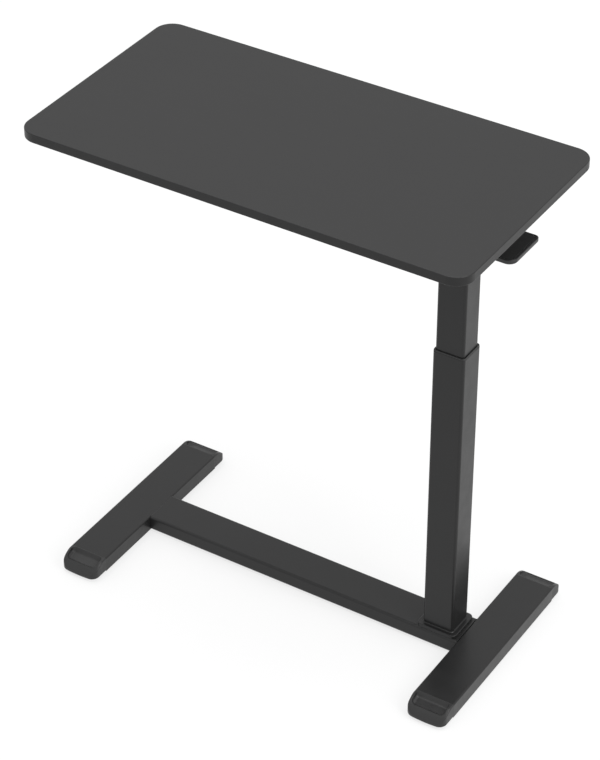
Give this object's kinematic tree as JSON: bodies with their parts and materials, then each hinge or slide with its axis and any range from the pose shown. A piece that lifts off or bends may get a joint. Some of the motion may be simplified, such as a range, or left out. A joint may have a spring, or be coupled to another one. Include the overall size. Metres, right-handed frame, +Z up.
{
  "type": "overbed table",
  "caption": "Height-adjustable overbed table: rectangular top on an offset telescopic column with a release lever, and an H-shaped base with hidden casters.",
  "frame": {"origin": "on the floor, below the centre of the tabletop", "axes": "+X along the tabletop's long side towards the column, +Y towards the rear long side, +Z up"},
  "size_m": [0.8, 0.416, 0.885],
  "materials": {
    "laminate": "dark grey melamine laminate on a wood-fibre core, satin",
    "edge_band": "dark grey plastic edge banding, satin",
    "powder_coat": "charcoal powder coat, fine texture, semi-gloss",
    "black_plastic": "moulded charcoal plastic, satin",
    "zinc_steel": "zinc-plated steel",
    "bright_rod": "hard-chromed piston rod, polished",
    "black_enamel": "black enamel, smooth",
    "wheel_polymer": "dark polyurethane tyre material, matte"
  },
  "bodies": {
    "base": {"foot_left": "powder_coat", "foot_right": "powder_coat", "cross_beam": "powder_coat", "beam_end_plate_left": "zinc_steel", "beam_end_plate_right": "zinc_steel", "foot_bolts": "zinc_steel", "base_plate": "powder_coat", "base_screws": "zinc_steel", "outer_column": "powder_coat", "guide_bush": "black_plastic", "gas_spring_cylinder": "black_enamel", "gas_spring_nut": "zinc_steel", "foot_cap_left_front": "black_plastic", "foot_cap_left_rear": "black_plastic", "foot_cap_right_front": "black_plastic", "foot_cap_right_rear": "black_plastic", "caster_plate_left_front": "zinc_steel", "caster_plate_left_rear": "zinc_steel", "caster_plate_right_front": "zinc_steel", "caster_plate_right_rear": "zinc_steel"},
    "lift": {"tabletop": "laminate", "tabletop_edge_band": "edge_band", "tabletop_screws": "zinc_steel", "rail_front": "powder_coat", "rail_rear": "powder_coat", "rail_end_plugs": "black_plastic", "rivet_nuts": "zinc_steel", "head_plate": "powder_coat", "head_bolts": "zinc_steel", "head_gussets": "powder_coat", "inner_column": "powder_coat", "column_slider": "black_plastic", "gas_spring_rod": "bright_rod", "gas_spring_piston": "zinc_steel", "rod_seat": "powder_coat", "lever_bracket": "powder_coat", "lever_pivot_pin": "zinc_steel"},
    "lever": {"release_lever": "powder_coat", "lever_paddle": "black_plastic"},
    "valve": {"release_pin": "zinc_steel"},
    "fork_left_front": {"caster_fork_left_front": "zinc_steel", "caster_axle_left_front": "zinc_steel"},
    "wheel_left_front": {"caster_wheel_left_front": "wheel_polymer"},
    "fork_left_rear": {"caster_fork_left_rear": "zinc_steel", "caster_axle_left_rear": "zinc_steel"},
    "wheel_left_rear": {"caster_wheel_left_rear": "wheel_polymer"},
    "fork_right_front": {"caster_fork_right_front": "zinc_steel", "caster_axle_right_front": "zinc_steel"},
    "wheel_right_front": {"caster_wheel_right_front": "wheel_polymer"},
    "fork_right_rear": {"caster_fork_right_rear": "zinc_steel", "caster_axle_right_rear": "zinc_steel"},
    "wheel_right_rear": {"caster_wheel_right_rear": "wheel_polymer"}
  },
  "joints": [
    {"name": "column_lift", "type": "slide", "parent": "base", "child": "lift", "axis": [0, 0, 1], "range_m": [-0.16, 0.18]},
    {"name": "lever_pull", "type": "hinge", "parent": "lift", "child": "lever", "pos_m": [0.316, 0, 0.816], "axis": [0, -1, 0], "range_deg": [0, 6], "stiffness_Nm_per_rad": 2},
    {"name": "valve_press", "type": "slide", "parent": "lift", "child": "valve", "axis": [0, 0, 1], "range_m": [-0.0037, 0]},
    {"name": "swivel_left_front", "type": "hinge", "parent": "base", "child": "fork_left_front", "pos_m": [-0.335, -0.135, 0.027], "axis": [0, 0, 1], "continuous": true},
    {"name": "roll_left_front", "type": "hinge", "parent": "fork_left_front", "child": "wheel_left_front", "pos_m": [-0.335, -0.144, 0.012], "axis": [1, 0, 0], "continuous": true},
    {"name": "swivel_left_rear", "type": "hinge", "parent": "base", "child": "fork_left_rear", "pos_m": [-0.335, 0.135, 0.027], "axis": [0, 0, 1], "continuous": true},
    {"name": "roll_left_rear", "type": "hinge", "parent": "fork_left_rear", "child": "wheel_left_rear", "pos_m": [-0.335, 0.126, 0.012], "axis": [1, 0, 0], "continuous": true},
    {"name": "swivel_right_front", "type": "hinge", "parent": "base", "child": "fork_right_front", "pos_m": [0.359, -0.135, 0.027], "axis": [0, 0, 1], "continuous": true},
    {"name": "roll_right_front", "type": "hinge", "parent": "fork_right_front", "child": "wheel_right_front", "pos_m": [0.359, -0.144, 0.012], "axis": [1, 0, 0], "continuous": true},
    {"name": "swivel_right_rear", "type": "hinge", "parent": "base", "child": "fork_right_rear", "pos_m": [0.359, 0.135, 0.027], "axis": [0, 0, 1], "continuous": true},
    {"name": "roll_right_rear", "type": "hinge", "parent": "fork_right_rear", "child": "wheel_right_rear", "pos_m": [0.359, 0.126, 0.012], "axis": [1, 0, 0], "continuous": true}
  ],
  "couplings": [
    {"joint": "valve_press", "follows": "lever_pull", "m_per_rad": -0.035}
  ]
}
